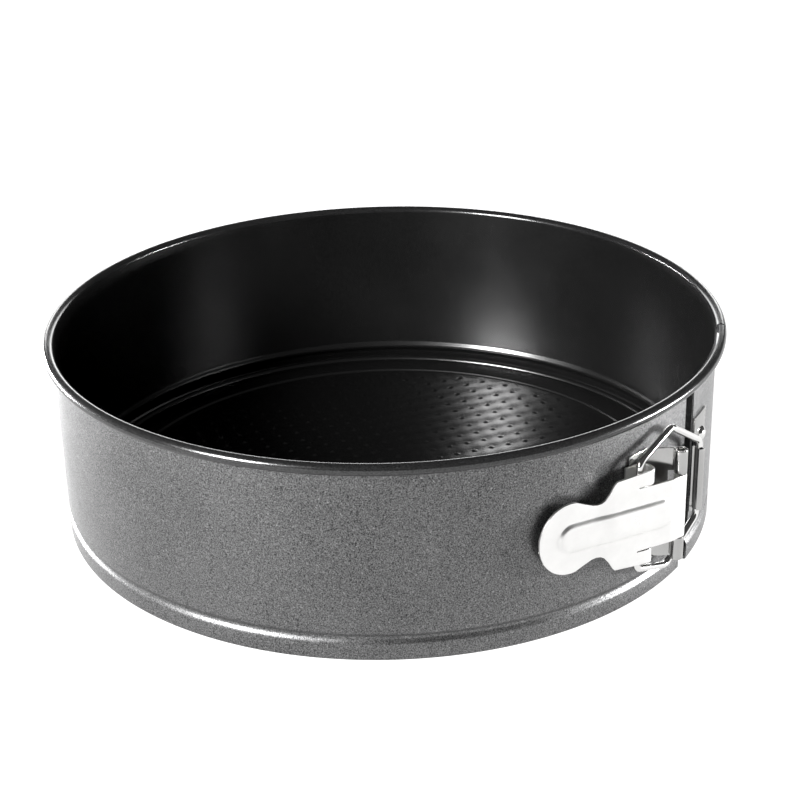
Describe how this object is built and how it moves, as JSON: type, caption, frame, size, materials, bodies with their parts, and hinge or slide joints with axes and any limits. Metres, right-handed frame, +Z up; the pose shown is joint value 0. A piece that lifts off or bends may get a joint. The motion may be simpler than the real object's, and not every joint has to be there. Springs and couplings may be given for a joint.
{
  "type": "springform pan",
  "caption": "Round springform cake pan with a loose base and an over-centre lever latch with a wire bail, closed.",
  "frame": {"origin": "on the pan's axis, in the plane of the foot it stands on", "axes": "+Z up; +X towards the split and latch; the lever is hinged on the -Y side of the split and lies along the wall towards -Y"},
  "size_m": [0.2536, 0.2476, 0.072],
  "materials": {
    "graphite_coat": "satin metallic",
    "dark_coat": "semi gloss",
    "nickel_plate": "polished",
    "steel_pin": "satin"
  },
  "bodies": {
    "lever_half": {"ring_lever_side": "graphite_coat", "hinge_bracket": "nickel_plate", "hinge_pin": "steel_pin", "bracket_rivet_upper": "nickel_plate", "bracket_rivet_lower": "nickel_plate"},
    "catch_half": {"ring_catch_side": "graphite_coat", "catch_plate": "nickel_plate", "catch_rivet_upper": "nickel_plate", "catch_rivet_lower": "nickel_plate"},
    "latch_lever": {"lever": "nickel_plate"},
    "latch_bail": {"bail": "nickel_plate"},
    "loose_base": {"base_disc": "dark_coat"}
  },
  "joints": [
    {"name": "lever_swing", "type": "hinge", "parent": "lever_half", "child": "latch_lever", "pos_m": [0.1276, -0.0241, 0.037], "axis": [0, 0, 1], "range_deg": [0, 105]},
    {"name": "ring_spread", "type": "hinge", "parent": "lever_half", "child": "catch_half", "pos_m": [-0.1238, 0, 0.036], "axis": [0, 0, 1], "range_deg": [0, 0.95]},
    {"name": "bail_swing", "type": "hinge", "parent": "catch_half", "child": "latch_bail", "pos_m": [0.1258, -0.0036, 0.037], "axis": [0, 0, 1], "range_deg": [0, 44]},
    {"name": "base_lift", "type": "slide", "parent": "lever_half", "child": "loose_base", "axis": [0, 0, 1], "range_m": [0, 0.09]}
  ],
  "couplings": [
    {"joint": "ring_spread", "follows": "lever_swing", "ratio": 0.0085},
    {"joint": "bail_swing", "follows": "lever_swing", "ratio": 0.395}
  ]
}
